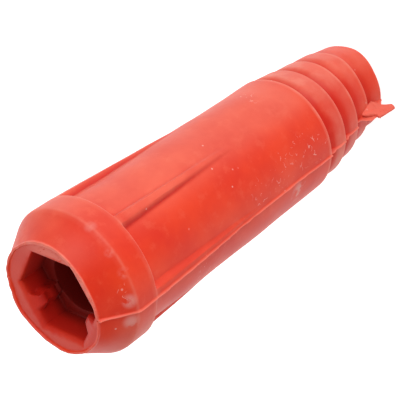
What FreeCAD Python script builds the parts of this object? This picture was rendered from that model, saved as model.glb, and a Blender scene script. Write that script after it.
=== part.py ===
# Insulating sleeve of a welding cable plug: one hollow moulding of soft red rubber, empty.
# It is drawn along +X from its mouth, with its parting plane level and its plain panel up,
# and is then stood on its cable end, mouth up, since it rolls on its side. All sizes are in
# millimetres.
import FreeCAD, Part
import math
import os

# Outside of the mouth end
nose_radius = 9.9
nose_length = 5.6
collar_radius = 13.4
collar_length = 4.6
collar_front_round = 1.5

# Grip body between the collar and the ringed tail
body_front_radius = 12.25
body_back_radius = 11.8
body_length = 51.9

# Grip ribs, which leave the collar flush with it and sink into the body
rib_count = 6
rib_length = 30.0
rib_crest_width = 1.4
rib_crest_end_width = 0.5
rib_flank_run = 0.9
rib_turn = 2.5

# Bend-relief rings of the tail: behind each crest the surface drops into a groove, climbs out
# of it and runs level to the next crest
ring_count = 4
ring_pitch = 5.75
ring_drop = 0.52
ring_drop_growth = 0.05
ring_land = 3.0
groove_depth = 1.4
groove_wall_run = 1.3
groove_root_round = 0.6
tail_lip = 0.4

# Inside: a hexagonal seat at the mouth, a round bore for the contact, and the cable bore.
# The moulding core stood a little off centre and turned, so the wall is uneven.
hex_across_flats = 14.4
hex_depth = 5.6
contact_bore_radius = 5.6
contact_bore_length = 40.0
cable_bore_radius = 5.1
bore_shoulder_length = 1.0
core_shift_y = -0.9
core_shift_z = 0.45
core_turn = 3.0

# Two keys on the lower slanting flats of the hexagonal seat
key_angles = (-30.0, -150.0)
key_width = 3.0
key_height = 1.5
key_setback = 0.3
key_lead = 1.0

# Flash where the mould halves met, and the torn flap of it beside the tail
flash_height = 0.35
flash_thickness = 0.4
flap_start = 76.2
flap_length = 8.2
flap_reach = 2.4
flap_tip_width = 4.6
flap_thickness = 0.7
flap_lift = 4.0

# Overlap that lets one volume bite into another before they are joined
bite = 1.5

collar_start = nose_length
body_start = collar_start + collar_length
body_end = body_start + body_length
sleeve_length = body_end + ring_count * ring_pitch + tail_lip
hex_apothem = hex_across_flats / 2.0


def point(x, radius, angle=0.0):
    """Point at a station along the axis, a radius and an angle in degrees from -Y, upwards."""
    turn = math.radians(angle)
    return FreeCAD.Vector(x, -radius * math.cos(turn), radius * math.sin(turn))


def crest(index):
    """Station and radius of a ring crest; crest 0 is the end edge of the body."""
    radius = body_back_radius - ring_drop * index - ring_drop_growth * index ** 2
    return body_end + index * ring_pitch, radius


def body_radius(x):
    """Radius of the body's panels at a station along it."""
    share = (x - body_start) / body_length
    return body_front_radius + share * (body_back_radius - body_front_radius)


def rounded_outline(corners):
    """Edges through (x, radius, rounding) corners, with an arc at each rounded one."""
    spots = [FreeCAD.Vector(x, 0, radius) for x, radius, _ in corners]
    edges = []
    last = spots[0]
    for before, here, after, corner in zip(spots, spots[1:], spots[2:], corners[1:]):
        rounding = corner[2]
        if rounding > 0:
            into = (here - before).normalize()
            away = (after - here).normalize()
            half_turn = into.getAngle(away) / 2.0
            room = 0.45 * min((here - before).Length, (after - here).Length)
            setback = min(rounding * math.tan(half_turn), room)
            radius = setback / math.tan(half_turn)
            inward = (away - into).normalize()
            middle = here + inward * (radius / math.cos(half_turn) - radius)
            edges.append(Part.LineSegment(last, here - into * setback).toShape())
            edges.append(Part.Arc(here - into * setback, middle, here + away * setback).toShape())
            last = here + away * setback
        else:
            edges.append(Part.LineSegment(last, here).toShape())
            last = here
    edges.append(Part.LineSegment(last, spots[-1]).toShape())
    return edges


def revolved(corners):
    """Solid of revolution about the X axis from an outline that starts and ends on it."""
    edges = rounded_outline(corners)
    ends = (FreeCAD.Vector(corners[-1][0], 0, 0), FreeCAD.Vector(corners[0][0], 0, 0))
    edges.append(Part.LineSegment(*ends).toShape())
    face = Part.Face(Part.Wire(edges))
    return face.revolve(FreeCAD.Vector(0, 0, 0), FreeCAD.Vector(1, 0, 0), 360)


def tail_corners():
    """Corners of the grooves and ring crests, from the first groove to the last crest."""
    corners = []
    for index in range(ring_count):
        x, radius = crest(index)
        next_x, next_radius = crest(index + 1)
        corners.append((x + groove_wall_run, radius - groove_depth, groove_root_round))
        corners.append((next_x - ring_land, next_radius, 0))
        corners.append((next_x, next_radius, 0))
    return corners


def outer_form():
    """Nose cone, collar, body and ringed tail as one turned volume."""
    tail_radius = crest(ring_count)[1]
    corners = [(0, 0, 0), (0, nose_radius, 0)]
    corners.append((collar_start, collar_radius, collar_front_round))
    corners.append((body_start, collar_radius, 0))
    corners.append((body_start, body_front_radius, 0))
    corners.append((body_end, body_back_radius, 0))
    corners += tail_corners()
    corners.append((sleeve_length, tail_radius, 0))
    corners.append((sleeve_length, 0, 0))
    return revolved(corners)


def rib_section(x, crest_radius, crest_width):
    """Trapezoid across a rib at a station, with its foot sunk into the body."""
    foot_radius = body_radius(x) - bite
    foot_width = crest_width + 2.0 * rib_flank_run * (crest_radius - foot_radius)
    corners = []
    for side, width, radius in ((1, foot_width, foot_radius), (1, crest_width, crest_radius),
                                (-1, crest_width, crest_radius), (-1, foot_width, foot_radius)):
        corners.append(FreeCAD.Vector(x, side * width / 2.0, radius))
    return Part.makePolygon(corners + corners[:1])


def grip_rib(index):
    """One rib: flush with the collar at its root, and level with the panels where it ends."""
    half_crest = rib_crest_width / 2.0
    root_radius = math.sqrt(collar_radius ** 2 - half_crest ** 2)
    rib_end = body_start + rib_length
    root = rib_section(body_start, root_radius, rib_crest_width)
    tip = rib_section(rib_end, body_radius(rib_end), rib_crest_end_width)
    rib = Part.makeLoft([root, tip], True, True)
    turn = 90 - rib_turn + index * 360.0 / rib_count
    rib.rotate(FreeCAD.Vector(0, 0, 0), FreeCAD.Vector(1, 0, 0), turn)
    return rib


def parting_flash():
    """Thin fin in the parting plane that stands proud of the outside all along both sides."""
    rib_end = body_start + rib_length
    edge = [(0, nose_radius), (collar_start, collar_radius)]
    edge += [(body_start, collar_radius), (rib_end, body_radius(rib_end))]
    edge.append((body_end, body_back_radius))
    edge += [corner[:2] for corner in tail_corners()]
    edge.append((sleeve_length, crest(ring_count)[1]))
    low = -flash_thickness / 2.0
    side = [FreeCAD.Vector(x, radius + flash_height, low) for x, radius in edge]
    mirrored = [FreeCAD.Vector(spot.x, -spot.y, low) for spot in reversed(side)]
    face = Part.Face(Part.makePolygon(side + mirrored + side[:1]))
    return face.extrude(FreeCAD.Vector(0, 0, flash_thickness))


def torn_flap():
    """Leaf of flash torn loose beside the last rings, lifted a little off the parting plane."""
    root_radius = crest(ring_count)[1] - bite
    reach_radius = crest(ring_count - 1)[1] + flap_reach
    flap_end = flap_start + flap_length
    tip_start = flap_end - flap_tip_width
    spots = [(flap_start, root_radius), (flap_start + 0.4 * (tip_start - flap_start), reach_radius - 0.8)]
    spots += [(tip_start, reach_radius), (flap_end - 0.8, reach_radius)]
    spots += [(flap_end, reach_radius - 1.2), (flap_end - 1.2, root_radius)]
    outline = [point(x, radius) + FreeCAD.Vector(0, 0, -flap_thickness / 2.0) for x, radius in spots]
    face = Part.Face(Part.makePolygon(outline + outline[:1]))
    flap = face.extrude(FreeCAD.Vector(0, 0, flap_thickness))
    flap.rotate(point(flap_start, root_radius), FreeCAD.Vector(1, 0, 0), -flap_lift)
    return flap


def hex_seat():
    """Hexagonal pocket with its flats up and down, less the two keys on its lower flats."""
    corner_radius = hex_apothem / math.cos(math.radians(30))
    corners = [point(-bite, corner_radius, 60 * index) for index in range(6)]
    pocket = Part.Face(Part.makePolygon(corners + corners[:1]))
    pocket = pocket.extrude(FreeCAD.Vector(bite + hex_depth, 0, 0))
    keys = [seat_key(angle) for angle in key_angles]
    return pocket.cut(keys)


def seat_key(angle):
    """Key that runs inwards along one flat from a sloped lead near the mouth."""
    top = hex_apothem - key_height
    root = hex_apothem + bite
    side = [(key_setback, root), (key_setback, hex_apothem), (key_setback + key_lead, top)]
    side += [(hex_depth + bite, top), (hex_depth + bite, root)]
    outline = [FreeCAD.Vector(x, -radius, -key_width / 2.0) for x, radius in side]
    key = Part.Face(Part.makePolygon(outline + outline[:1]))
    key = key.extrude(FreeCAD.Vector(0, 0, key_width))
    key.rotate(FreeCAD.Vector(0, 0, 0), FreeCAD.Vector(1, 0, 0), -angle)
    return key


def core():
    """Everything the moulding core left hollow, from the mouth to the cable end."""
    shoulder = hex_depth + contact_bore_length
    through = sleeve_length + bite
    corners = [(hex_depth - bite, 0, 0), (hex_depth - bite, contact_bore_radius, 0)]
    corners.append((shoulder, contact_bore_radius, 0))
    corners.append((shoulder + bore_shoulder_length, cable_bore_radius, 0))
    corners += [(through, cable_bore_radius, 0), (through, 0, 0)]
    hollow = hex_seat().fuse(revolved(corners))
    hollow.rotate(FreeCAD.Vector(0, 0, 0), FreeCAD.Vector(1, 0, 0), -core_turn)
    hollow.translate(FreeCAD.Vector(0, core_shift_y, core_shift_z))
    return hollow


def stood_up(shape):
    """The sleeve on its cable end, mouth up, with the centre of its footprint at the origin."""
    shape.rotate(FreeCAD.Vector(0, 0, 0), FreeCAD.Vector(0, 1, 0), 90)
    box = shape.optimalBoundingBox(False)
    shape.translate(FreeCAD.Vector(-box.Center.x, -box.Center.y, -box.ZMin))
    return shape


ribs = [grip_rib(index) for index in range(rib_count)]
sleeve = outer_form().fuse(ribs + [parting_flash(), torn_flap()]).cut(core()).removeSplitter()
sleeve = stood_up(sleeve)
if len(sleeve.Solids) != 1:
    raise ValueError("the sleeve came out as %d solids" % len(sleeve.Solids))

os.makedirs("parts", exist_ok=True)
sleeve.Solids[0].exportStep("parts/insulating_sleeve.step")
print("insulating_sleeve", "valid", sleeve.isValid(), "volume mm3", round(sleeve.Volume, 1))
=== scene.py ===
import math

import bmesh
import bpy
import numpy as np
from mathutils import Matrix, Vector


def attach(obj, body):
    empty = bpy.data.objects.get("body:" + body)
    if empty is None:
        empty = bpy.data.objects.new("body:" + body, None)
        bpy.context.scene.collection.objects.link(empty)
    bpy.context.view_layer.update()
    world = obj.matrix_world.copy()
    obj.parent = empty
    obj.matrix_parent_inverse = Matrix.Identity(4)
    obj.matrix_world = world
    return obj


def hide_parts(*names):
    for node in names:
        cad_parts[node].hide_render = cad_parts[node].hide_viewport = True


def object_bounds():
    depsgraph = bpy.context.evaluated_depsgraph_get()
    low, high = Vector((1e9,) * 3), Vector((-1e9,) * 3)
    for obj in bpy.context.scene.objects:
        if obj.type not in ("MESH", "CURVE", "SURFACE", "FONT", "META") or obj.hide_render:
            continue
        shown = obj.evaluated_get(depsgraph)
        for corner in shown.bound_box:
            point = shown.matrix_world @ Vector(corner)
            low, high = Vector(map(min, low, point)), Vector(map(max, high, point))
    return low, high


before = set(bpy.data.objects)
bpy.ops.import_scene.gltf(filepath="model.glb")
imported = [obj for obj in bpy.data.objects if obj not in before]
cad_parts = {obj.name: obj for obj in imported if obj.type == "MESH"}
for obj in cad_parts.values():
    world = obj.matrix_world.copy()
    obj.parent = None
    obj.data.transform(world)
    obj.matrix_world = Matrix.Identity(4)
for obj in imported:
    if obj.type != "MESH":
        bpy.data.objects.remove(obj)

# The sleeve stands on its cable end with its mouth up. Sizes are in millimetres. A station is the
# distance down from the mouth. An angle is in degrees from -Y, the parting side, towards +X, the
# plain panel.
MM = 0.001
NODE = "insulating_sleeve"
CAD_LOW, CAD_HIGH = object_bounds()
SLEEVE_LENGTH = (CAD_HIGH.z - CAD_LOW.z) / MM

# Numbers kept at each point: radius before the ribs, dust with painted highlight, thin torn rubber
# with painted highlight, worn edges and bands with painted highlight, painted shade in the grooves
# and at the feet of ribs, painted shade inside and in its deep part, and the cut face
MARKS = ("plain_radius", "bloom", "thin", "worn", "recess", "hollow", "deep", "cut")

# Outside of the mouth end: a thin lip of torn rubber round the face, a cone and a collar
LIP_RADIUS = 10.1
LIP_WIDTH = 0.3
LIP_FOLD = 0.2
LIP_HEIGHT = 0.28
LIP_RAGGED = 0.05
LIP_FOOT_RAGGED = 0.06
COLLAR_START = 5.6
COLLAR_END = 10.2
COLLAR_RADIUS = 13.4

# Grip body with six ribs, which leave the collar flush with it
BODY_END = 62.1
BODY_FRONT_RADIUS = 12.25
BODY_BACK_RADIUS = 11.8
RIB_COUNT = 6
RIB_LENGTH = 30.0
RIB_TURN = 2.5
RIB_CREST_WIDTH = 1.4
RIB_CREST_END_WIDTH = 0.5
RIB_FLANK_WIDTH = 1.0
RIB_FLANK_END_SHARE = 0.45

# Strip of painted shade along the foot of each rib: its width, and its strength on the low and the high side
RIB_FOOT_WIDTH = 0.36
RIB_FOOT_SHARES = (1.0, 0.35)

# Bend-relief rings: a groove behind each crest, then a level band up to the next one
RING_COUNT = 4
RING_PITCH = 5.75
RING_DROP = 0.52
RING_DROP_GROWTH = 0.05
RING_LAND = 3.0
GROOVE_DEPTH = 1.45
GROOVE_WALL_RUN = 0.65
CREST_ROUND = 0.15

# Share of each groove that the bent tail closes on the plain panel's side
GROOVE_CLOSED = (0.1, 0.2, 0.35, 0.75)

# Flash on the parting line: its height, unevenness and width, how far it is torn back over the
# grooves, and for each side its random seed and how much more it stands out at the mouth
FLASH_HEIGHT = 0.34
FLASH_RAGGED = 0.1
FLASH_WIDTH = 0.17
FLASH_TORN = 0.75
FLASH_SIDES = ((21, 0.25), (42, -0.2))

# Inside, made by a core that stood off centre and turned
CORE_SHIFT = (0.45, -0.9)
CORE_TURN = 3.0
HEX_APOTHEM = 7.2
HEX_DEPTH = 5.6
CONTACT_BORE_RADIUS = 5.6
CABLE_BORE_RADIUS = 5.1
SHOULDER_START = 45.6
SHOULDER_END = 46.6
KEY_ANGLES = (-30.0, -150.0)
KEY_WIDTH = 3.0
KEY_HEIGHT = 1.5
KEY_START = 0.3
KEY_LEAD = 1.0
SEAT_WEAR = 0.4
SEAT_WEAR_DEPTH = 1.4

# Rounding of the seat's edge: station and how much wider it has opened
SEAT_EDGE = ((0.82, 0.02), (0.66, 0.07), (0.54, 0.14), (0.44, 0.25), (0.36, 0.4), (0.31, 0.58))

# Radius gained or lost round the mouth, where its edge was trimmed by hand: angle and amount
TRIM = ((-178, 0.1), (-172, -0.35), (-150, 0.25), (-120, -0.2), (-76, 0.22), (-44, 0.05), (-31, 0.18),
        (0, -0.15), (30, -0.42), (54, 0.0), (72, 0.42), (97, 0.38), (127, -0.1), (154, 0.03))
TRIM_LENGTH = 4.6

# Radius gained or lost round the grip body, which sags slightly: angle and amount
BODY_FORM = ((-90, 0.1), (-44, 0.14), (-10, 0.03), (40, 0.0), (110, -0.04), (136, -0.1), (180, 0.0))

# Radius gained or lost round the last two rings, which were bent and flattened: angle and amount
TAIL_FORM = ((-120, -0.1), (-70, -0.3), (-40, -0.6), (0, -0.95), (20, -0.85), (42, -0.55), (58, 0.0),
             (78, 0.55), (100, 0.4), (135, 0.4), (170, 0.2), (-150, 0.1))
TAIL_FORM_START = 70.0
TAIL_FORM_END = 79.5

# Edges painted pale, partly worn and partly painted highlight on their rounding: station and how strongly
WORN_AND_HIGHLIT_EDGES = ((5.6, 0.32), (10.15, 0.5), (62.1, 0.8), (67.85, 0.85), (73.6, 0.85), (79.35, 0.85), (85.3, 0.4))
PALE_EDGE_WIDTH = 0.3

# Torn leaf of flash beside the last rings: station, reach from the axis and height over the
# parting plane of each corner; and the web under it, as stations and radii
FLAP_EDGE = ((77.0, 8.8, 1.0), (78.3, 8.7, 1.4), (79.7, 8.7, 2.1), (80.1, 8.9, 2.4), (81.1, 9.4, 2.0),
             (81.7, 10.0, 1.4), (82.9, 10.7, 1.0), (84.2, 11.3, 0.8), (83.8, 12.3, 0.5),
             (81.5, 12.0, 0.4), (80.0, 11.8, 0.3), (79.0, 11.5, 0.3), (79.2, 10.8, 0.5),
             (78.3, 10.2, 0.7), (77.2, 9.6, 0.9))
FLAP_THICKNESS = 0.5
WEB = ((76.0, 9.0), (77.2, 11.0), (79.3, 11.1), (81.5, 10.4), (84.6, 8.6))

# Marks on the rubber: station, angle and reach in millimetres of each patch
SMUDGES = ((5.0, 10.0, 1.7), (4.9, -7.5, 1.9), (5.6, 31.0, 1.5), (5.4, 48.0, 1.3), (6.0, 70.0, 1.6),
           (52.0, -12.0, 3.0), (8.0, 200.0, 3.0))
FIBRES = ((57.8, 19.1, 4.5), (53.2, 21.0, 4.5), (47.5, 17.0, 5.0), (40.5, 15.0, 3.5), (54.0, 94.0, 3.5),
          (24.0, -14.0, 5.0), (4.4, 17.0, 2.2), (30.0, 195.0, 9.0), (66.0, 240.0, 7.0))

# Pale dust round the axis, mixed with painted highlight, most on the plain panel's side, and what the
# cone and collar have more or less than that, partly dust and partly painted highlight and shade: angle and
# share
DUST_AND_HIGHLIGHT = ((-160, 0.1), (-100, 0.1), (-60, 0.0), (-15, 0.1), (0, 0.3), (12, 0.34), (22, 0.1), (30, 0.0),
         (46, 0.05), (60, 0.85), (72, 1.0), (100, 0.95), (115, 1.0), (135, 0.9), (160, 0.4))
MOUTH_DUST_HIGHLIGHT_AND_SHADE = ((-90, 0.4), (-40, 0.95), (-12, 0.95), (2, 0.0), (45, 0.0), (60, -0.45), (78, -0.4),
               (95, 0.1), (180, 0.25))

# Angle round which the ring bands get less painted highlight and stay deeper red, how wide, and how strongly
BAND_SHADE_ANGLE = 38.0
BAND_SHADE_WIDTH = 26.0
BAND_SHADE_SHARE = 0.6

# Crumbs of torn rubber: smallest and largest size, and how many lie on a square metre of thin edge
CRUMB_SIZES = (0.1, 0.34)
CRUMB_DENSITY = 9.0e5

# Patterns in the rubber: size, detail and roughness
PATTERNS = {"cloud": (11.0, 4.0, 0.55), "mottle": (2.4, 5.0, 0.65), "thread": (1.5, 1.0, 0.4),
            "break": (1.0, 3.0, 0.6), "smear": (3.0, 4.0, 0.55), "few": (9.0, 2.0, 0.5),
            "grain": (0.35, 3.0, 0.5), "skin": (3.5, 2.0, 0.5), "polish": (5.0, 4.0, 0.5)}
SPECK_SPACING = 2.4

# Colours laid over the rubber's own red, in order: pattern or mark, strength and colour
RUBBER_RED = "#E22A0A"
# The layers for dust, worn edges and thin rubber are partly painted highlight; the layers for grooves and rib
# feet, the inside and its deep part are painted shade
LAYERS = (("cloud", 0.8, "#F03E14"), ("mottle", 0.3, "#F05F42"), ("bloom", 0.27, "#F2A58F"),
          ("recess", 0.97, "#CC0E00"), ("hollow", 0.92, "#C21E16"), ("deep", 0.9, "#6C130D"),
          ("cut", 0.5, "#C83A2E"), ("smudges", 0.7, "#E9A096"), ("fibres", 0.6, "#F4BEB2"),
          ("specks", 0.7, "#F2C4BA"), ("worn", 0.75, "#F59A84"), ("thin", 0.82, "#F67E6A"))

# Even light from the surroundings, weaker towards the horizon
LIGHT_AT_HORIZON = 0.33
LIGHT_ABOVE = 0.68

# Camera, found by fitting the photograph's edges. Its frame is square.
PHOTO_PIXELS = 400
FOCAL_PIXELS = 1300.0
CAMERA_FROM_MOUTH = (124.19, -124.35, 111.5)
CAMERA_RIGHT = (-0.0371, -0.7830, -0.6209)
CAMERA_UP = (0.8391, 0.3130, -0.4448)


def linear(code):
    """Linear colour from an sRGB hex value."""
    parts = [int(code[at:at + 2], 16) / 255.0 for at in (1, 3, 5)]
    curve = [c / 12.92 if c <= 0.04045 else ((c + 0.055) / 1.055) ** 2.4 for c in parts]
    return (*curve, 1.0)


def add(tree, kind, inputs=None, **settings):
    """Adds a node with its settings, and with values or links on its inputs."""
    made = tree.nodes.new(kind)
    for name, value in settings.items():
        setattr(made, name, value)
    for name, value in (inputs or {}).items():
        if isinstance(value, bpy.types.Node):
            value = value.outputs[0]
        if isinstance(value, bpy.types.NodeSocket):
            tree.links.new(value, made.inputs[name])
        else:
            made.inputs[name].default_value = value
    return made


def eased(value, start, end):
    """Smooth step from 0 at start to 1 at end."""
    share = np.clip((value - start) / (end - start), 0.0, 1.0)
    return share * share * (3.0 - 2.0 * share)


def waves(angle, station, seed, octaves=7, turns=(1, 9)):
    """Unevenness of a soft moulding, about -1 to 1, the same at every run; turns is how fine it is."""
    draw = np.random.default_rng(seed)
    total = np.zeros(np.broadcast(angle, station).shape)
    for _ in range(octaves):
        around = draw.integers(*turns)
        length = draw.uniform(6.0, 30.0)
        phase = draw.uniform(0.0, 2.0 * math.pi, 2)
        swing = np.cos(around * np.radians(angle) + phase[0])
        total = total + swing * np.cos(station / length * 2 * math.pi + phase[1])
    return total / math.sqrt(octaves)


def crest(index):
    """Station and radius of a ring crest; crest 0 is the end edge of the body."""
    return BODY_END + index * RING_PITCH, BODY_BACK_RADIUS - RING_DROP * index - RING_DROP_GROWTH * index ** 2


def rounded(corners, step):
    """Points along an outline of (station, radius, rounding) corners, no further apart than step."""
    points = [np.array(corners[0][:2])]
    for before, here, after in zip(corners, corners[1:], corners[2:]):
        spot = np.array(here[:2])
        into = spot - before[:2]
        away = after[:2] - spot
        room = 0.45 * min(np.linalg.norm(into), np.linalg.norm(away))
        into = into / np.linalg.norm(into)
        away = away / np.linalg.norm(away)
        half_turn = math.acos(np.clip(into @ away, -1.0, 1.0)) / 2.0
        setback = min(here[2] * math.tan(half_turn), room)
        start, end = spot - into * setback, spot + away * setback
        pieces = max(2, math.ceil(math.degrees(half_turn) / 9.0))
        for share in np.linspace(0.0, 1.0, pieces + 1):
            points.append((1 - share) ** 2 * start + 2 * share * (1 - share) * spot + share ** 2 * end)
    points.append(np.array(corners[-1][:2]))
    dense = [points[0]]
    for before, here in zip(points, points[1:]):
        pieces = max(1, math.ceil(np.linalg.norm(here - before) / step))
        dense += [before + (here - before) * share for share in np.linspace(0.0, 1.0, pieces + 1)[1:]]
    return dense


def outside_corners():
    """Corners of the outside from the foot of the mouth's lip to the cable end."""
    corners = [(LIP_HEIGHT, LIP_RADIUS - LIP_WIDTH - 0.1, 0.0), (0.0, LIP_RADIUS - LIP_WIDTH, 0.06)]
    corners += [(0.0, LIP_RADIUS, 0.08), (0.4, LIP_RADIUS + 0.04, 0.3)]
    corners += [(COLLAR_START, COLLAR_RADIUS, 1.5), (COLLAR_END, COLLAR_RADIUS, 0.35)]
    corners += [(COLLAR_END, BODY_FRONT_RADIUS, 0.25), (BODY_END, BODY_BACK_RADIUS, CREST_ROUND)]
    for index in range(RING_COUNT):
        station, radius = crest(index)
        next_station, next_radius = crest(index + 1)
        corners.append((station + GROOVE_WALL_RUN, radius - GROOVE_DEPTH, 0.4))
        corners.append((next_station - RING_LAND, next_radius - 0.12, 3.2))
        corners.append((next_station, next_radius, CREST_ROUND))
    end_radius = crest(RING_COUNT)[1]
    corners += [(SLEEVE_LENGTH, end_radius - 0.05, 0.25), (SLEEVE_LENGTH, CABLE_BORE_RADIUS + 1.2, 0.0)]
    return [(np.float64(a), np.float64(b), c) for a, b, c in corners]


def column_angles():
    """Angles of the mesh's columns: one a degree, with extra ones beside each parting line."""
    near = [side * offset for offset in (0.35, 0.7, 1.3, 1.6) for side in (-1, 1)]
    extra = [(line + offset + 180.0) % 360.0 - 180.0 for line in (0.0, 180.0) for offset in near]
    return np.array(sorted([float(a) for a in range(-180, 180)] + extra))


def ring_of(angles, radius, station, centre=(0.0, 0.0)):
    """Points round the axis, or round another centre, at one station."""
    turn = np.radians(angles)
    x = centre[0] + radius * np.sin(turn)
    y = centre[1] - radius * np.cos(turn)
    return np.stack([x, y, SLEEVE_LENGTH - station + 0.0 * turn], axis=1)


def from_table(angles, table):
    """Amount at each angle from a table of angles and amounts, smooth all the way round."""
    place, amount = np.array(sorted(table)).T
    near = [np.interp(angles + shift, place, amount, period=360.0) for shift in (-7.0, -3.5, 0.0, 3.5, 7.0)]
    return np.mean(near, axis=0)


def parting_distance(angles, radius):
    """Distance in millimetres from the nearer parting line."""
    return np.abs((angles + 90.0) % 180.0 - 90.0) * np.pi / 180.0 * radius


def flash_height(station, radius, side_seed, at_mouth):
    """How far the flash stands out at a station. It is ragged, and bridges the grooves."""
    ragged = float(waves(0.0, np.float64(station * 5.0), side_seed))
    low = FLASH_HEIGHT + FLASH_RAGGED * ragged
    if station <= BODY_END:
        return low + at_mouth * float(eased(2.0 - station, 0.0, 1.8))
    index = min(int((station - BODY_END) / RING_PITCH), RING_COUNT - 1)
    (x0, r0), (x1, r1) = crest(index), crest(index + 1)
    bridge = r0 + (r1 - r0) * (station - x0) / (x1 - x0) + 0.1
    torn = FLASH_TORN * abs(float(waves(0.0, np.float64(station * 2.2), side_seed + 3)))
    return max(low, bridge - radius - torn)


def groove_at(station, radius):
    """Number of the groove at a station, and how far the surface lies under the crests' line there."""
    index = min(int(max(station - BODY_END, 0.0) / RING_PITCH), RING_COUNT - 1)
    (x0, r0), (x1, r1) = crest(index), crest(index + 1)
    bridge = r0 + (r1 - r0) * (station - x0) / (x1 - x0)
    return index, max(bridge - radius, 0.0) if station > BODY_END else 0.0


def rib_foot_shade(angles, station, radius):
    """Share of painted shade along the narrow strip beside each grip rib."""
    left = 1.0 - (station - COLLAR_END) / RIB_LENGTH
    if not 0.0 < left < 1.0:
        return 0.0 * angles
    side = (angles - RIB_TURN + 30.0) % 60.0 - 30.0
    across = np.abs(side) * np.pi / 180.0 * radius
    crest_half = (RIB_CREST_END_WIDTH + (RIB_CREST_WIDTH - RIB_CREST_END_WIDTH) * left) / 2.0
    spread = RIB_FLANK_END_SHARE + (1.0 - RIB_FLANK_END_SHARE) * left
    foot = crest_half + RIB_FLANK_WIDTH * spread * 0.7
    strip = np.exp(-((across - foot) / RIB_FOOT_WIDTH) ** 2)
    return np.where(side < 0.0, *RIB_FOOT_SHARES) * min(1.0, 2.0 * left) * strip


def outside_loops(angles):
    """Loops of the outside, each with its points and the marks that its rubber carries."""
    loops = []
    folded = eased(np.cos(np.radians(angles - 62.0)), 0.35, 0.9)
    for station, radius in rounded(outside_corners(), 0.8):
        base = radius + from_table(angles, TRIM) * float(eased(TRIM_LENGTH - station, 0.0, 4.2))
        base = base + from_table(angles, TAIL_FORM) * float(eased(station, TAIL_FORM_START, TAIL_FORM_END))
        base = base + 0.07 * waves(angles, station, 11) * min(1.0, station / 6.0)
        along = float(eased(station, 12.0, 20.0)) * float(eased(64.0 - station, 0.0, 10.0))
        base = base + from_table(angles, BODY_FORM) * along
        fins = [flash_height(station, radius, seed, at_mouth) for seed, at_mouth in FLASH_SIDES]
        fin = np.where(np.abs(angles) < 90.0, *fins)
        fin = fin if radius > crest(RING_COUNT)[1] - 1.2 else 0.0 * fin
        if WEB[0][0] < station < WEB[-1][0]:
            web = np.interp(station, *np.array(WEB).T) - base[np.argmin(np.abs(angles))]
            fin = np.where(np.abs(angles) < 90.0, np.maximum(fin, web), fin)
        ridge = np.exp(-(parting_distance(angles, radius) / FLASH_WIDTH) ** 2)
        lip = 1.0 if station < 0.1 and radius > LIP_RADIUS - LIP_WIDTH - 0.05 else 0.0
        base = base + lip * LIP_RAGGED * waves(angles, 0.0, 77, 14, (9, 40))
        if station < 0.5 and radius < LIP_RADIUS - 0.5 * LIP_WIDTH:
            base = base - LIP_FOOT_RAGGED * (1.0 + waves(angles, 0.0, 79, 9, (2, 17))) - LIP_FOLD * folded
        groove, depth = groove_at(station, radius)
        top_side = eased(np.cos(np.radians(angles - 105.0)), 0.2, 0.9)
        past_wall = float(eased(station - crest(groove)[0], 0.9, 2.1))
        closed = np.maximum(GROOVE_CLOSED[groove], 0.85 * past_wall) * top_side
        base = base + closed * depth
        # Painted shade: the grooves and the feet of the ribs are coloured deeper red, more on each rib's low
        # side
        recess = (1.0 - closed) * min(depth / GROOVE_DEPTH, 1.0)
        recess = recess + 0.85 * rib_foot_shade(angles, station, radius)
        # Pale edges and ring bands: partly wear, partly painted highlight where light catches them; the bands
        # get less of it on later rings and round one angle
        worn = max(share * math.exp(-((station - place) / PALE_EDGE_WIDTH) ** 2) for place, share in WORN_AND_HIGHLIT_EDGES)
        if station > BODY_END:
            band_shade = BAND_SHADE_SHARE * np.exp(-((angles - BAND_SHADE_ANGLE) / BAND_SHADE_WIDTH) ** 2)
            worn = np.maximum(worn, (0.72 - 0.14 * groove) * (1.0 - band_shade) * eased(0.5 - recess, 0.0, 0.45))
        # Pale dust with painted highlight, most on the plain panel's side and less on the tail and the cone;
        # near the mouth, painted highlight on some sides of the cone and collar and painted shade on others
        bloom = from_table(angles, DUST_AND_HIGHLIGHT) * (1.0 - 0.6 * float(eased(station, 59.0, 64.0)))
        bloom = bloom * (1.0 - 0.45 * float(eased(5.8 - station, 0.0, 1.0)))
        near_mouth = float(eased(13.0 - station, 0.0, 3.0)) * float(eased(station, 1.2, 5.4))
        bloom = bloom + from_table(angles, MOUTH_DUST_HIGHLIGHT_AND_SHADE) * near_mouth
        loop = ring_of(angles, base + fin * ridge, station)
        loop[:, 2] += lip * LIP_RAGGED * waves(angles, 0.0, 78, 14, (9, 40))
        # The flash ridges and the lip are painted paler: partly thin torn rubber, partly painted highlight
        # where light catches them
        torn = lip * (0.35 + 0.75 * folded) * (1.0 + 0.2 * waves(angles, 0.0, 81, 9, (6, 30)))
        loops.append((loop, {"plain_radius": base, "thin": np.maximum(ridge * (fin > 0.0), torn),
                             "worn": worn, "recess": recess, "bloom": bloom}))
    return loops


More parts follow.
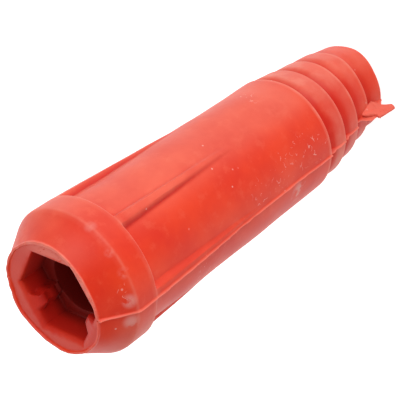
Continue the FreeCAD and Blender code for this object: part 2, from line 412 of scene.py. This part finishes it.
def seat_radius(angles, station):
    """Distance of the hexagonal seat's wall from the core's centre, with its two keys."""
    turned = (angles - CORE_TURN) % 60.0 - 30.0
    radius = HEX_APOTHEM / np.cos(np.radians(turned))
    for key in KEY_ANGLES:
        away = (angles - CORE_TURN - key + 180.0) % 360.0 - 180.0
        across = HEX_APOTHEM * np.tan(np.radians(np.clip(away, -40.0, 40.0)))
        rise = float(eased(np.float64(station), KEY_START, KEY_START + KEY_LEAD))
        across = across + 0.22 * math.sin(station * 2.3 + key)
        rise *= 1.0 + 0.1 * math.sin(station * 3.4 + key)
        crown = eased(-np.abs(across), -KEY_WIDTH / 2.0 - 0.15, -KEY_WIDTH / 2.0 + 0.55)
        radius = radius - KEY_HEIGHT * rise * crown / np.cos(np.radians(away * (np.abs(away) < 40.0)))
    lower_side = eased(-np.sin(np.radians(angles)), -0.1, 0.7)
    worn_away = SEAT_WEAR * max(0.0, 1.0 - station / SEAT_WEAR_DEPTH) ** 2
    return radius + lower_side * worn_away * (1.0 + 0.4 * waves(angles, station * 4.0, 61, 9, (4, 22)))


def inside_loops(angles):
    """Loops from the cable end up through both bores and the seat to the mouth's face."""
    loops = []
    for station in np.linspace(SLEEVE_LENGTH, SHOULDER_END, 14):
        flare = 0.35 * float(eased(station, SLEEVE_LENGTH - 0.5, SLEEVE_LENGTH))
        loops.append(ring_of(angles, CABLE_BORE_RADIUS + flare, station, CORE_SHIFT))
    for station in np.linspace(SHOULDER_START, HEX_DEPTH + 0.4, 12):
        loops.append(ring_of(angles, CONTACT_BORE_RADIUS, station, CORE_SHIFT))
    loops.append(ring_of(angles, CONTACT_BORE_RADIUS + 0.1, HEX_DEPTH + 0.1, CORE_SHIFT))
    seat_foot = seat_radius(angles, HEX_DEPTH)
    for share in (0.3, 0.6, 0.9):
        radius = CONTACT_BORE_RADIUS + 0.1 + (seat_foot - CONTACT_BORE_RADIUS - 0.1) * share
        loops.append(ring_of(angles, radius, HEX_DEPTH - 0.04, CORE_SHIFT))
    for station in (5.45, 5.0, 4.2, 3.4, 2.8, 2.4, 2.1, 1.8, 1.5, 1.2, 1.0):
        loops.append(ring_of(angles, seat_radius(angles, station), station, CORE_SHIFT))
    soft = 0.35 + 0.65 * eased(-np.sin(np.radians(angles)), -0.3, 0.5)
    for station, opened in SEAT_EDGE:
        lumps = opened * soft * (1.0 + 0.5 * (soft - 0.35) * waves(angles, station * 9.0, 67, 9, (8, 34)))
        loops.append(ring_of(angles, seat_radius(angles, station) + lumps, station, CORE_SHIFT))
    marked = []
    # Painted shade inside: darker from the mouth's edge inwards, darkest from 6 mm deep, a little less beyond
    # 14 mm, and none at the cable end
    for loop in loops:
        depth = SLEEVE_LENGTH - loop[0, 2]
        from_end = float(eased(SLEEVE_LENGTH - depth, 0.0, 9.0))
        dark = float(eased(depth, 3.0, 6.0) * (1.0 - 0.4 * eased(depth, 7.0, 14.0)))
        marked.append((loop, {"hollow": float(eased(depth, -1.2, 1.9)) * from_end, "deep": dark * from_end}))
    return marked


def face_loops(angles, inner, outer):
    """Loops of the flat mouth face between the seat's edge and the foot of the lip."""
    loops = []
    for share in (0.25, 0.6, 0.85):
        loop = inner + (outer - inner) * share
        loop[:, 2] = SLEEVE_LENGTH - LIP_HEIGHT + 0.03 * waves(angles, share * 9.0, 5)
        # The face beside the folded lip is painted paler: partly thin torn rubber, partly painted highlight
        near_side = eased(np.cos(np.radians(angles - 62.0)), 0.2, 0.9)
        loops.append((loop, {"cut": 1.0, "thin": 0.8 * near_side}))
    return loops


def mesh_object(name, points, faces):
    """New mesh object from points in millimetres."""
    mesh = bpy.data.meshes.new(name)
    mesh.from_pydata([tuple(p) for p in np.asarray(points) * MM], [], faces)
    made = bpy.data.objects.new(name, mesh)
    bpy.context.scene.collection.objects.link(made)
    return made


def store(mesh, name, values):
    """Keeps one number for each point of the mesh, from the numbers of its loops."""
    values = np.concatenate(values).astype(np.float32)
    mesh.attributes.new(name, "FLOAT", "POINT").data.foreach_set("value", values)


def sleeve_shell():
    """The moulding without its ribs: one closed skin, inside and out."""
    angles = column_angles()
    outer = outside_loops(angles)
    inner = inside_loops(angles)
    loops = outer + inner + face_loops(angles, inner[-1][0], outer[0][0])
    columns, rows = len(angles), len(loops)
    faces = []
    for row in range(rows):
        here, below = row * columns, (row + 1) % rows * columns
        for column in range(columns):
            right = (column + 1) % columns
            faces.append((here + column, here + right, below + right, below + column))
    shell = mesh_object("sleeve", np.concatenate([points for points, _ in loops]), faces)
    for name in MARKS:
        store(shell.data, name, [np.broadcast_to(marks.get(name, 0.0), columns) for _, marks in loops])
    return shell


def rib_tree(material):
    """Tree that raises the grip ribs: each leaves the collar flush with it and fades along the body."""
    tree = bpy.data.node_groups.new("grip_ribs", "GeometryNodeTree")
    face = tree.interface
    face.new_socket("Geometry", in_out="INPUT", socket_type="NodeSocketGeometry")
    for name in ("Count", "Turn", "Root Height", "Length", "Root Radius", "Crest Width", "Crest End Width",
                 "Flank Width"):
        face.new_socket(name, in_out="INPUT", socket_type="NodeSocketFloat")
    face.new_socket("Geometry", in_out="OUTPUT", socket_type="NodeSocketGeometry")
    given = add(tree, "NodeGroupInput").outputs
    x, y, z = add(tree, "ShaderNodeSeparateXYZ", {0: add(tree, "GeometryNodeInputPosition")}).outputs
    plain = add(tree, "GeometryNodeInputNamedAttribute", {"Name": "plain_radius"}, data_type="FLOAT")
    forward = add(tree, "ShaderNodeMath", {0: y, 1: -1.0}, operation="MULTIPLY")
    angle = add(tree, "ShaderNodeMath", {0: x, 1: forward}, operation="ARCTAN2")
    angle = add(tree, "ShaderNodeMath", {0: angle, 1: given["Turn"]}, operation="SUBTRACT")
    pitch = add(tree, "ShaderNodeMath", {0: 2.0 * math.pi, 1: given["Count"]}, operation="DIVIDE")
    half_pitch = add(tree, "ShaderNodeMath", {0: pitch, 1: 0.5}, operation="MULTIPLY")
    below = add(tree, "ShaderNodeMath", {0: half_pitch, 1: -1.0}, operation="MULTIPLY")
    across = add(tree, "ShaderNodeMath", {0: angle, 1: half_pitch, 2: below}, operation="WRAP")
    across = add(tree, "ShaderNodeMath", {0: across, 1: given["Root Radius"]}, operation="MULTIPLY")
    across = add(tree, "ShaderNodeMath", {0: across}, operation="ABSOLUTE")
    foot = add(tree, "ShaderNodeMath", {0: given["Root Height"], 1: given["Length"]}, operation="SUBTRACT")
    left = add(tree, "ShaderNodeMapRange", {"Value": z, "From Min": foot, "From Max": given["Root Height"]})
    surface = add(tree, "ShaderNodeMath", {0: plain, 1: MM}, operation="MULTIPLY")
    rise = add(tree, "ShaderNodeMath", {0: given["Root Radius"], 1: surface}, operation="SUBTRACT")
    rise = add(tree, "ShaderNodeMath", {0: rise, 1: left}, operation="MULTIPLY")
    crest_width = add(tree, "ShaderNodeMapRange", {
        "Value": left, "To Min": given["Crest End Width"], "To Max": given["Crest Width"]})
    crest_half = add(tree, "ShaderNodeMath", {0: crest_width, 1: 0.5}, operation="MULTIPLY")
    spread = add(tree, "ShaderNodeMath", {0: left, 1: 1.0 - RIB_FLANK_END_SHARE, 2: RIB_FLANK_END_SHARE},
                 operation="MULTIPLY_ADD")
    flank = add(tree, "ShaderNodeMath", {0: given["Flank Width"], 1: spread, 2: crest_half},
                operation="MULTIPLY_ADD")
    shape = add(tree, "ShaderNodeMapRange", {"Value": across, "From Min": flank, "From Max": crest_half},
                interpolation_type="SMOOTHSTEP")
    lift = add(tree, "ShaderNodeMath", {0: rise, 1: shape}, operation="MULTIPLY")
    lift = add(tree, "ShaderNodeMath", {0: lift, 1: 0.0}, operation="MAXIMUM")
    top = add(tree, "ShaderNodeMath", {0: given["Root Height"], 1: 0.45 * MM}, operation="ADD")
    in_reach = add(tree, "ShaderNodeMath", {0: z, 1: top}, operation="LESS_THAN")
    outside = add(tree, "ShaderNodeMath", {0: plain, 1: 0.0}, operation="GREATER_THAN")
    lift = add(tree, "ShaderNodeMath", {0: lift, 1: in_reach}, operation="MULTIPLY")
    lift = add(tree, "ShaderNodeMath", {0: lift, 1: outside}, operation="MULTIPLY")
    outward = add(tree, "ShaderNodeCombineXYZ", {0: x, 1: y})
    outward = add(tree, "ShaderNodeVectorMath", {0: outward}, operation="NORMALIZE")
    offset = add(tree, "ShaderNodeVectorMath", {0: outward, "Scale": lift}, operation="SCALE")
    moved = add(tree, "GeometryNodeSetPosition", {"Geometry": given["Geometry"], "Offset": offset})
    real = add(tree, "GeometryNodeRealizeInstances", {0: moved})
    done = add(tree, "GeometryNodeSetMaterial", {"Geometry": real, "Material": material})
    add(tree, "NodeGroupOutput", {0: done})
    return tree


def crumb_tree(material, crumb):
    """Tree that leaves small crumbs of torn rubber along the thin edges."""
    tree = bpy.data.node_groups.new("flash_crumbs", "GeometryNodeTree")
    face = tree.interface
    face.new_socket("Geometry", in_out="INPUT", socket_type="NodeSocketGeometry")
    for name in ("Smallest", "Largest", "Density"):
        face.new_socket(name, in_out="INPUT", socket_type="NodeSocketFloat")
    face.new_socket("Geometry", in_out="OUTPUT", socket_type="NodeSocketGeometry")
    given = add(tree, "NodeGroupInput").outputs
    thin = add(tree, "GeometryNodeInputNamedAttribute", {"Name": "thin"}, data_type="FLOAT")
    on_edge = add(tree, "FunctionNodeCompare", {0: thin, 1: 0.6}, data_type="FLOAT", operation="GREATER_THAN")
    points = add(tree, "GeometryNodeDistributePointsOnFaces",
                 {"Mesh": given["Geometry"], "Selection": on_edge, "Density": given["Density"], "Seed": 4})
    shape = add(tree, "GeometryNodeObjectInfo", {"Object": crumb})
    turn = add(tree, "FunctionNodeRandomValue", {0: (0.0, 0.0, 0.0), 1: (6.28, 6.28, 6.28), "Seed": 8},
               data_type="FLOAT_VECTOR")
    size = add(tree, "FunctionNodeRandomValue", {2: given["Smallest"], 3: given["Largest"], "Seed": 9},
               data_type="FLOAT")
    crumbs = add(tree, "GeometryNodeInstanceOnPoints", {
        "Points": points, "Instance": shape.outputs["Geometry"], "Rotation": turn, "Scale": size.outputs[1]})
    both = add(tree, "GeometryNodeJoinGeometry")
    tree.links.new(crumbs.outputs[0], both.inputs[0])
    tree.links.new(given["Geometry"], both.inputs[0])
    real = add(tree, "GeometryNodeRealizeInstances", {0: both})
    done = add(tree, "GeometryNodeSetMaterial", {"Geometry": real, "Material": material})
    add(tree, "NodeGroupOutput", {0: done})
    return tree


def grown(target, tree, values):
    """Runs a tree on an object with the given inputs and keeps the result as its plain mesh."""
    modifier = target.modifiers.new(tree.name, "NODES")
    modifier.node_group = tree
    for item in tree.interface.items_tree:
        if item.in_out == "INPUT" and item.name in values:
            modifier[item.identifier] = float(values[item.name])
    bpy.context.view_layer.update()
    evaluated = target.evaluated_get(bpy.context.evaluated_depsgraph_get())
    mesh = bpy.data.meshes.new_from_object(evaluated, depsgraph=bpy.context.evaluated_depsgraph_get())
    target.modifiers.remove(modifier)
    target.data = mesh
    mesh.name = target.name


def torn_flap():
    """The leaf as a thin curled plate, closed all round and rooted in the last ring."""
    edge = np.array(FLAP_EDGE + FLAP_EDGE[:1])
    outline = []
    for before, here in zip(edge, edge[1:]):
        outline += [before + (here - before) * share for share in (0.0, 0.34, 0.67)]
    outline = np.array(outline)
    outline = (np.roll(outline, 1, axis=0) + 6.0 * outline + np.roll(outline, -1, axis=0)) / 8.0
    middle = outline.mean(axis=0)
    count, shares = len(outline), (1.0, 0.94, 0.7, 0.45, 0.2)
    points, faces = [], []
    for side in (0.0, -1.0):
        for share in shares:
            for station, reach, height in middle + (outline - middle) * share:
                inset = 0.25 if share == 1.0 else 0.0
                x = height + FLAP_THICKNESS * (side + inset * (-1.0 - 2.0 * side))
                points.append((x, -reach, SLEEVE_LENGTH - station))
        points.append(np.mean(points[-count:], axis=0))
    span = count * len(shares) + 1
    for level in range(len(shares) - 1):
        for at in range(count):
            a, b = level * count + at, level * count + (at + 1) % count
            faces.append((a, b, b + count, a + count))
            faces.append((span + b, span + a, span + a + count, span + b + count))
    for at in range(count):
        a, b = (len(shares) - 1) * count + at, (len(shares) - 1) * count + (at + 1) % count
        faces.append((a, b, span - 1))
        faces.append((span + b, span + a, 2 * span - 1))
        faces.append((at, span + at, span + (at + 1) % count, (at + 1) % count))
    flap = mesh_object("flap", points, faces)
    # The leaf is painted paler all over: partly thin torn rubber, partly painted highlight
    for name in MARKS:
        store(flap.data, name, [np.full(len(points), 0.8 if name == "thin" else 0.0)])
    return flap


def crumb_shape():
    """One crumb of rubber, a lumpy grain a millimetre across before it is scaled."""
    bpy.ops.mesh.primitive_ico_sphere_add(subdivisions=1, radius=0.5 * MM)
    crumb = bpy.context.object
    crumb.name = "crumb"
    for number, vertex in enumerate(crumb.data.vertices):
        vertex.co *= 0.75 + 0.35 * math.sin(number * 2.4) ** 2
    return crumb


def outward_faces(mesh):
    """Turns every closed skin of the mesh outwards, and sets soft shading with crisp corners."""
    work = bmesh.new()
    work.from_mesh(mesh)
    bmesh.ops.recalc_face_normals(work, faces=work.faces)
    work.to_mesh(mesh)
    work.free()
    mesh.shade_smooth()
    mesh.set_sharp_from_angle(angle=math.radians(38))


def moulded_rubber():
    """Red rubber pressed in a plain mould and not polished. That gives a satin skin with a wide soft
    shine, dusty with painted highlight where it lay open, with painted shade in the grooves, at the rib
    feet and inside, and paler where it is torn thin, partly as painted highlight."""
    material = bpy.data.materials.new("moulded_red_rubber")
    material.use_nodes = True
    tree = material.node_tree
    shader = tree.nodes["Principled BSDF"]
    where = add(tree, "ShaderNodeTexCoord").outputs["Object"]

    fields = {}
    for name, (size, detail, roughness) in PATTERNS.items():
        fields[name] = add(tree, "ShaderNodeTexNoise", {
            "Vector": where, "Scale": 1.0 / (size * MM), "Detail": detail, "Roughness": roughness})
    patches = {}
    for name, places in (("smudges", SMUDGES), ("fibres", FIBRES)):
        for station, angle, reach in places:
            turn, radius = math.radians(angle), BODY_FRONT_RADIUS * MM
            spot = (radius * math.sin(turn), -radius * math.cos(turn), (SLEEVE_LENGTH - station) * MM)
            gap = add(tree, "ShaderNodeVectorMath", {0: where, 1: spot}, operation="DISTANCE")
            mask = add(tree, "ShaderNodeMapRange", {
                "Value": gap.outputs["Value"], "From Min": reach * MM, "From Max": 0.3 * reach * MM},
                interpolation_type="SMOOTHSTEP")
            if name in patches:
                mask = add(tree, "ShaderNodeMath", {0: patches[name], 1: mask}, operation="MAXIMUM")
            patches[name] = mask
    thread = add(tree, "ShaderNodeMath", {0: fields["thread"], 1: 0.5, 2: 0.011}, operation="COMPARE")
    cells = add(tree, "ShaderNodeTexVoronoi",
                {"Vector": where, "Scale": 1.0 / (SPECK_SPACING * MM), "Randomness": 1.0})
    shares = {"cloud": add(tree, "ShaderNodeMapRange",
                           {"Value": fields["cloud"], "From Min": 0.38, "From Max": 0.62})}
    for name, source, low, high, within in (
            ("mottle", "mottle", 0.52, 0.72, None), ("smudges", "smear", 0.4, 0.54, patches["smudges"]),
            ("fibres", "break", 0.53, 0.58, patches["fibres"]), ("specks", "few", 0.56, 0.62, None)):
        shares[name] = add(tree, "ShaderNodeMapRange",
                           {"Value": fields[source], "From Min": low, "From Max": high},
                           interpolation_type="SMOOTHSTEP")
        if within is not None:
            shares[name] = add(tree, "ShaderNodeMath", {0: shares[name], 1: within}, operation="MULTIPLY")
    shares["fibres"] = add(tree, "ShaderNodeMath", {0: shares["fibres"], 1: thread}, operation="MULTIPLY")
    dots = add(tree, "ShaderNodeMapRange",
               {"Value": cells.outputs["Distance"], "From Min": 0.1, "From Max": 0.05})
    shares["specks"] = add(tree, "ShaderNodeMath", {0: shares["specks"], 1: dots}, operation="MULTIPLY")
    for name in MARKS[1:]:
        shares[name] = add(tree, "ShaderNodeAttribute", attribute_name=name).outputs["Fac"]
    wear_and_highlight_patches = add(tree, "ShaderNodeMapRange",
                 {"Value": fields["smear"], "From Min": 0.42, "From Max": 0.6, "To Min": 0.6, "To Max": 1.0})
    dust_and_highlight_patches = add(tree, "ShaderNodeMapRange",
                  {"Value": fields["cloud"], "From Min": 0.3, "From Max": 0.7, "To Min": 0.6, "To Max": 1.0})
    for name, patchy in (("worn", wear_and_highlight_patches), ("bloom", dust_and_highlight_patches)):
        shares[name] = add(tree, "ShaderNodeMath", {0: shares[name], 1: patchy}, operation="MULTIPLY")
    colour = linear(RUBBER_RED)
    for name, strength, code in LAYERS:
        weight = add(tree, "ShaderNodeMath", {0: shares[name], 1: strength}, operation="MULTIPLY")
        mixed = add(tree, "ShaderNodeMix", {0: weight, 6: colour, 7: linear(code)}, data_type="RGBA")
        colour = mixed.outputs[2]
    tree.links.new(colour, shader.inputs["Base Color"])
    polish = add(tree, "ShaderNodeMapRange", {"Value": fields["polish"], "To Min": 0.38, "To Max": 0.52})
    tree.links.new(polish.outputs[0], shader.inputs["Roughness"])
    shader.inputs["IOR"].default_value = 1.45
    shader.inputs["Specular IOR Level"].default_value = 0.3
    shader.inputs["Sheen Weight"].default_value = 0.08
    shader.inputs["Sheen Roughness"].default_value = 0.28
    shader.inputs["Sheen Tint"].default_value = linear("#FFDCD4")
    fine = add(tree, "ShaderNodeBump",
               {"Height": fields["grain"], "Strength": 0.14, "Distance": 0.06 * MM})
    skin = add(tree, "ShaderNodeBump",
               {"Height": fields["skin"], "Strength": 0.3, "Distance": 0.12 * MM, "Normal": fine})
    tree.links.new(skin.outputs[0], shader.inputs["Normal"])
    return material


def studio_floor():
    """Plain pale floor that reads as white paper and keeps the sleeve's shadow."""
    material = bpy.data.materials.new("white_paper_floor")
    material.use_nodes = True
    tree = material.node_tree
    tree.nodes.clear()
    paper = add(tree, "ShaderNodeBsdfDiffuse", {"Color": linear("#F4F4F4")})
    path = add(tree, "ShaderNodeLightPath")
    seen = add(tree, "ShaderNodeMath", {0: path.outputs["Is Camera Ray"], 1: path.outputs["Is Glossy Ray"]},
               operation="MAXIMUM")
    seen = add(tree, "ShaderNodeMath", {0: seen, 1: path.outputs["Is Transmission Ray"]}, operation="MAXIMUM")
    lift = add(tree, "ShaderNodeMath", {0: seen, 1: 0.7}, operation="MULTIPLY")
    glow = add(tree, "ShaderNodeEmission", {"Color": (1.0, 1.0, 1.0, 1.0), "Strength": lift})
    both = add(tree, "ShaderNodeAddShader", {0: paper, 1: glow})
    add(tree, "ShaderNodeOutputMaterial", {0: both})
    half = 3.0
    mesh = bpy.data.meshes.new("floor")
    corners = [(-half, -half, 0), (half, -half, 0), (half, half, 0), (-half, half, 0)]
    mesh.from_pydata(corners, [], [(0, 1, 2, 3)])
    mesh.materials.append(material)
    floor = bpy.data.objects.new("floor", mesh)
    bpy.context.scene.collection.objects.link(floor)


def studio_world():
    """White surroundings to the camera and to rays through glass, and plain soft light on the sleeve."""
    world = bpy.data.worlds.new("studio")
    bpy.context.scene.world = world
    world.use_nodes = True
    tree = world.node_tree
    tree.nodes.clear()
    path = add(tree, "ShaderNodeLightPath")
    seen = add(tree, "ShaderNodeMath", {
        0: path.outputs["Is Camera Ray"], 1: path.outputs["Is Transmission Ray"]}, operation="MAXIMUM")
    ray = add(tree, "ShaderNodeTexCoord").outputs["Generated"]
    height = add(tree, "ShaderNodeSeparateXYZ", {0: ray}).outputs[2]
    level = add(tree, "ShaderNodeMapRange",
                {"Value": height, "From Max": 0.9, "To Min": LIGHT_AT_HORIZON, "To Max": LIGHT_ABOVE})
    light = add(tree, "ShaderNodeBackground", {"Color": (1.0, 1.0, 1.0, 1.0), "Strength": level})
    white = add(tree, "ShaderNodeBackground", {"Color": (1.0, 1.0, 1.0, 1.0), "Strength": 1.0})
    both = add(tree, "ShaderNodeMixShader", {0: seen, 1: light, 2: white})
    add(tree, "ShaderNodeOutputWorld", {0: both})


def soft_box(name, direction, distance, size, power):
    """Square area lamp that faces the middle of the sleeve."""
    lamp = bpy.data.lights.new(name, "AREA")
    lamp.shape = "SQUARE"
    lamp.size = size
    lamp.energy = power
    made = bpy.data.objects.new(name, lamp)
    bpy.context.scene.collection.objects.link(made)
    back = Vector(direction).normalized()
    made.location = Vector((0.0, 0.0, SLEEVE_LENGTH / 2.0 * MM)) + back * distance
    made.rotation_euler = back.to_track_quat("Z", "Y").to_euler()


def photo_camera():
    """Camera at the photograph's place, with its own turn of the frame."""
    data = bpy.data.cameras.new("photo_camera")
    data.sensor_width = 36.0
    data.lens = data.sensor_width * FOCAL_PIXELS / PHOTO_PIXELS
    camera = bpy.data.objects.new("photo_camera", data)
    bpy.context.scene.collection.objects.link(camera)
    right = Vector(CAMERA_RIGHT).normalized()
    back = right.cross(Vector(CAMERA_UP)).normalized()
    up = back.cross(right)
    turn = Matrix((right, up, back)).transposed().to_4x4()
    place = Vector(CAMERA_FROM_MOUTH) * MM + Vector((0.0, 0.0, SLEEVE_LENGTH * MM))
    camera.matrix_world = Matrix.Translation(place) @ turn
    bpy.context.scene.camera = camera


def joined(main, extra):
    """Adds another object's mesh to the main one, and removes the other object."""
    bpy.ops.object.select_all(action="DESELECT")
    for item in (main, extra):
        item.select_set(True)
    bpy.context.view_layer.objects.active = main
    bpy.ops.object.join()


def build_sleeve():
    """The whole moulding as one piece that stands for the CAD node."""
    rubber = moulded_rubber()
    sleeve = sleeve_shell()
    grown(sleeve, rib_tree(rubber), {
        "Count": RIB_COUNT, "Turn": math.radians(RIB_TURN), "Root Height": (SLEEVE_LENGTH - COLLAR_END) * MM,
        "Length": RIB_LENGTH * MM, "Root Radius": COLLAR_RADIUS * MM,
        "Crest Width": RIB_CREST_WIDTH * MM, "Crest End Width": RIB_CREST_END_WIDTH * MM,
        "Flank Width": RIB_FLANK_WIDTH * MM})
    joined(sleeve, torn_flap())
    crumb = crumb_shape()
    grown(sleeve, crumb_tree(rubber, crumb), {
        "Smallest": CRUMB_SIZES[0], "Largest": CRUMB_SIZES[1], "Density": CRUMB_DENSITY})
    bpy.data.objects.remove(crumb)
    outward_faces(sleeve.data)
    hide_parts(NODE)
    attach(sleeve, "root")


bpy.context.scene.view_settings.view_transform = "Standard"
build_sleeve()
studio_floor()
studio_world()
soft_box("key", direction=(0.905, -0.263, 0.12), distance=0.45, size=0.4, power=1.45)
soft_box("back", direction=(-0.55, 0.75, 0.35), distance=0.6, size=0.5, power=0.9)
photo_camera()
